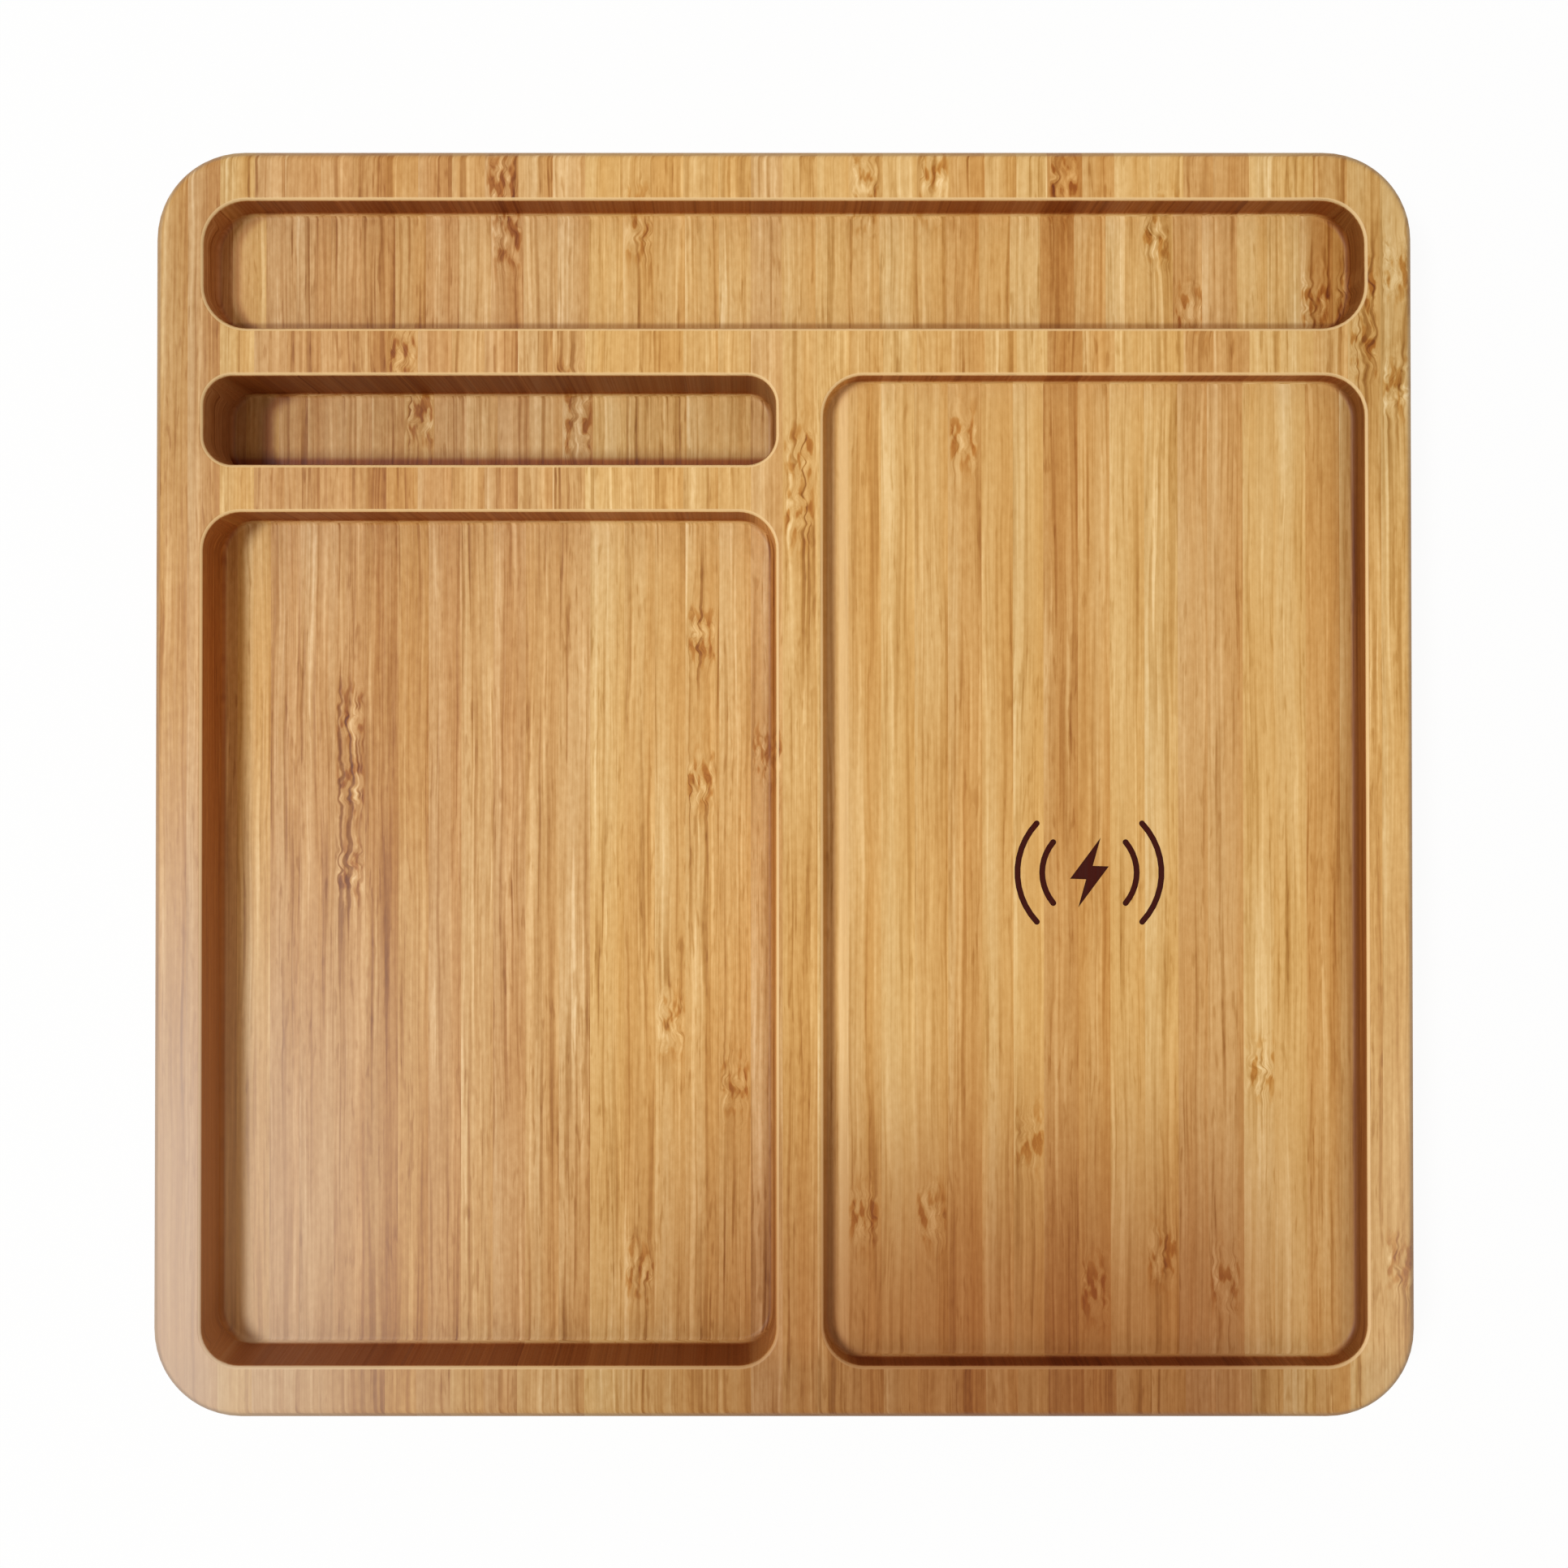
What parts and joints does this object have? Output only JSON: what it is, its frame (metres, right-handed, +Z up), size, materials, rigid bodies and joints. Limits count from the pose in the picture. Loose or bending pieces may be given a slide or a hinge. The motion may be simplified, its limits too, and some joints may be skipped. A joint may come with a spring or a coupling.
{
  "type": "wireless charging desk organizer",
  "caption": "Square bamboo desk tray with milled pockets for pens, cards and small things, and a shallow phone tray over a wireless charging coil.",
  "frame": {"origin": "middle of the footprint, on the surface that the feet stand on", "axes": "+X to the right, +Y to the back where the power inlet is, +Z up out of the pockets"},
  "size_m": [0.2212, 0.2224, 0.022],
  "materials": {
    "bamboo": "oiled satin",
    "cover_plastic": "fine spark-eroded texture",
    "foot_rubber": "matt",
    "steel": "zinc plated",
    "bezel_plastic": "satin",
    "socket_metal": "nickel plated",
    "tongue_plastic": "satin",
    "contact_gilt": "gilt",
    "light_plastic": "clear moulded",
    "led_body": "moulded",
    "board_laminate": "solder mask",
    "chip_resin": "moulded resin",
    "capacitor_ceramic": "fired",
    "inductor_ferrite": "pressed powder",
    "resistor_ceramic": "glazed",
    "coil_wire": "enamelled copper",
    "ferrite": "sintered",
    "adhesive": "film",
    "foam": "closed cell"
  },
  "bodies": {
    "root": {"bamboo_tray": "bamboo", "base_cover": "cover_plastic", "cover_screws": "steel", "foot_front_left": "foot_rubber", "foot_front_right": "foot_rubber", "foot_back_left": "foot_rubber", "foot_back_right": "foot_rubber", "port_bezel": "bezel_plastic", "usb_socket_shell": "socket_metal", "usb_socket_tongue": "tongue_plastic", "usb_socket_contacts": "contact_gilt", "light_pipe": "light_plastic", "status_led": "led_body", "circuit_board": "board_laminate", "board_screws": "steel", "controller_chip": "chip_resin", "bridge_chips": "chip_resin", "resonance_capacitors": "capacitor_ceramic", "buffer_capacitors": "capacitor_ceramic", "power_inductor": "inductor_ferrite", "chip_resistors": "resistor_ceramic", "transmit_coil": "coil_wire", "coil_adhesive": "adhesive", "ferrite_shield": "ferrite", "coil_foam_pad": "foam"}
  },
  "joints": []
}
